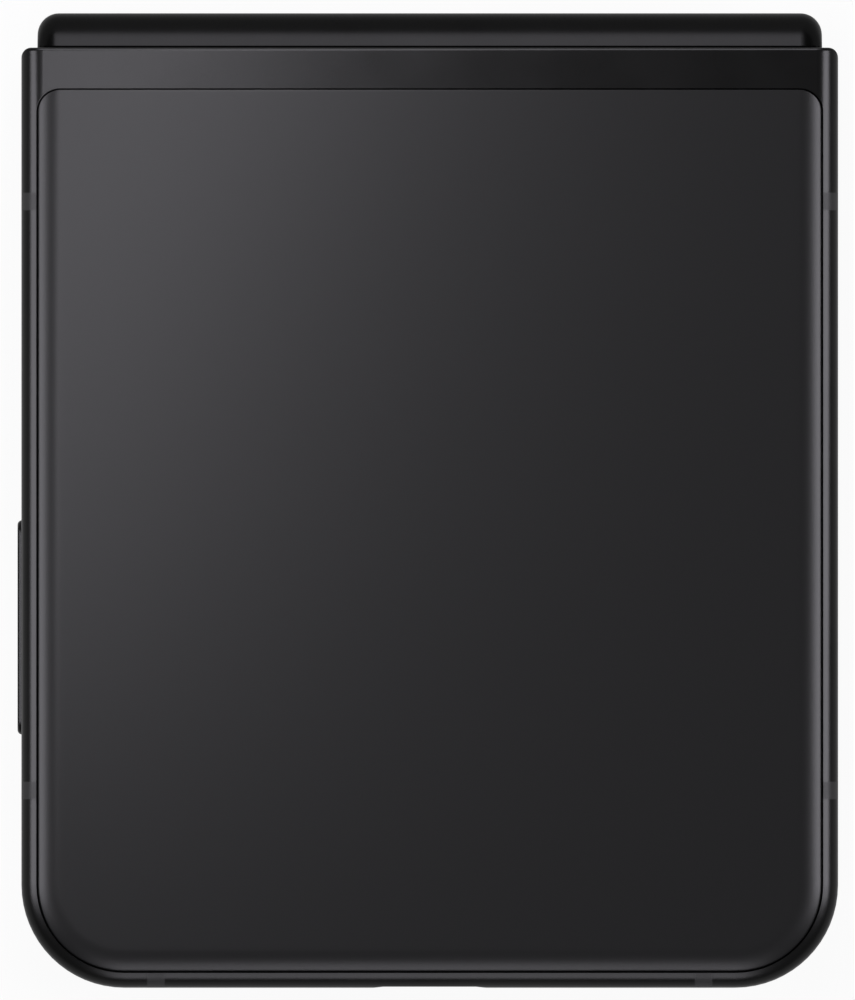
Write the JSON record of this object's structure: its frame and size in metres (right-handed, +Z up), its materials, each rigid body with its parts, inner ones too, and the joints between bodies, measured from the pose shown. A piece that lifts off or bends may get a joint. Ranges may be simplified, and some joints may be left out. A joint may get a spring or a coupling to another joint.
{
  "type": "foldable phone",
  "caption": "Black clamshell smartphone that folds in half across its screen on a geared hinge, with side keys, card tray, charging socket and outer cameras.",
  "frame": {"origin": "under the middle of the folded phone, on the surface that it lies on", "axes": "+X across the phone, +Y out of the hinge spine, +Z up, out of the back of the half with the charging socket, with the half that has the outer cameras underneath"},
  "size_m": [0.0727, 0.0862, 0.017],
  "materials": {
    "frame_metal": "satin",
    "split_plastic": "matte",
    "rear_glass": "gloss",
    "window_glass": "gloss",
    "lens_metal": "satin",
    "lens_glass": "gloss",
    "lamp": "gloss",
    "camera_body": "matte",
    "screen": "gloss",
    "border_plastic": "matte",
    "bumper_rubber": "matte",
    "cell_wrap": "satin",
    "board": "matte",
    "shield_metal": "satin",
    "copper": "satin",
    "module_plastic": "matte",
    "motor_metal": "satin",
    "socket_metal": "satin",
    "socket_tongue": "matte",
    "screw_metal": "satin",
    "hinge_steel": "satin",
    "spine_metal": "satin",
    "gear_steel": "satin"
  },
  "bodies": {
    "cover_half": {"cover_frame": "frame_metal", "cover_antenna_splits": "split_plastic", "cover_rear_panel": "rear_glass", "cover_window": "window_glass", "cover_screen_small": "screen", "lens_rings": "lens_metal", "lens_glasses": "lens_glass", "outer_cameras": "camera_body", "camera_lamp": "lamp", "cover_screen": "screen", "cover_border": "border_plastic", "cover_bumpers": "bumper_rubber", "cover_cell": "cell_wrap", "main_board": "board", "board_shield": "shield_metal", "earpiece": "module_plastic", "front_camera": "camera_body", "side_key_switches": "shield_metal", "volume_key_switches": "shield_metal", "card_reader_cage": "shield_metal", "cover_leaf_screws": "screw_metal", "cover_hinge_leaf": "hinge_steel"},
    "main_half": {"main_frame": "frame_metal", "main_antenna_splits": "split_plastic", "main_rear_panel": "rear_glass", "main_screen": "screen", "main_border": "border_plastic", "main_bumpers": "bumper_rubber", "main_cell": "cell_wrap", "charging_coil": "copper", "sub_board": "board", "loudspeaker": "module_plastic", "buzzer_motor": "motor_metal", "socket_shell": "socket_metal", "socket_tongue": "socket_tongue", "main_leaf_screws": "screw_metal", "main_hinge_leaf": "hinge_steel"},
    "hinge_spine": {"spine_cover": "spine_metal", "hinge_base_left": "hinge_steel", "hinge_base_right": "hinge_steel", "gear_cheeks": "hinge_steel", "gear_pins": "gear_steel", "screen_fold": "screen"},
    "main_pinion": {"main_pinion": "gear_steel"},
    "main_idler": {"main_idler": "gear_steel"},
    "cover_idler": {"cover_idler": "gear_steel"},
    "cover_pinion": {"cover_pinion": "gear_steel"},
    "volume_key": {"volume_key": "frame_metal"},
    "side_key": {"side_key": "frame_metal"},
    "card_tray": {"card_tray": "frame_metal"}
  },
  "joints": [
    {"name": "spine_fold", "type": "hinge", "parent": "cover_half", "child": "hinge_spine", "pos_m": [0, 0.038, 0.00668], "axis": [-1, 0, 0], "range_deg": [0, 90], "deforming": ["screen_fold"]},
    {"name": "main_fold", "type": "hinge", "parent": "hinge_spine", "child": "main_half", "pos_m": [0, 0.038, 0.01082], "axis": [-1, 0, 0], "range_deg": [0, 90], "deforming": ["screen_fold"]},
    {"name": "main_pinion_spin", "type": "hinge", "parent": "hinge_spine", "child": "main_pinion", "pos_m": [0, 0.04076, 0.01201], "axis": [-1, 0, 0], "range_deg": [-155.45, 0]},
    {"name": "main_idler_spin", "type": "hinge", "parent": "hinge_spine", "child": "main_idler", "pos_m": [0, 0.04118, 0.00985], "axis": [-1, 0, 0], "range_deg": [0, 155.45]},
    {"name": "cover_idler_spin", "type": "hinge", "parent": "hinge_spine", "child": "cover_idler", "pos_m": [0, 0.04118, 0.00765], "axis": [-1, 0, 0], "range_deg": [-155.45, 0]},
    {"name": "cover_pinion_spin", "type": "hinge", "parent": "hinge_spine", "child": "cover_pinion", "pos_m": [0, 0.04076, 0.00549], "axis": [-1, 0, 0], "range_deg": [0, 155.45]},
    {"name": "volume_rock", "type": "hinge", "parent": "cover_half", "child": "volume_key", "pos_m": [-0.0363, -0.01127, 0.00395], "axis": [0, 0, 1], "range_deg": [-2, 2], "stiffness_Nm_per_rad": 0.1},
    {"name": "side_key_press", "type": "slide", "parent": "cover_half", "child": "side_key", "axis": [1, 0, 0], "range_m": [0, 0.0002], "stiffness_N_per_m": 800},
    {"name": "tray_slide", "type": "slide", "parent": "cover_half", "child": "card_tray", "axis": [1, 0, 0], "range_m": [0, 0.018]}
  ],
  "couplings": [
    {"joint": "main_fold", "follows": "spine_fold", "ratio": 1},
    {"joint": "main_pinion_spin", "follows": "spine_fold", "ratio": -1.7273},
    {"joint": "main_idler_spin", "follows": "spine_fold", "ratio": 1.7273},
    {"joint": "cover_idler_spin", "follows": "spine_fold", "ratio": -1.7273},
    {"joint": "cover_pinion_spin", "follows": "spine_fold", "ratio": 1.7273}
  ]
}
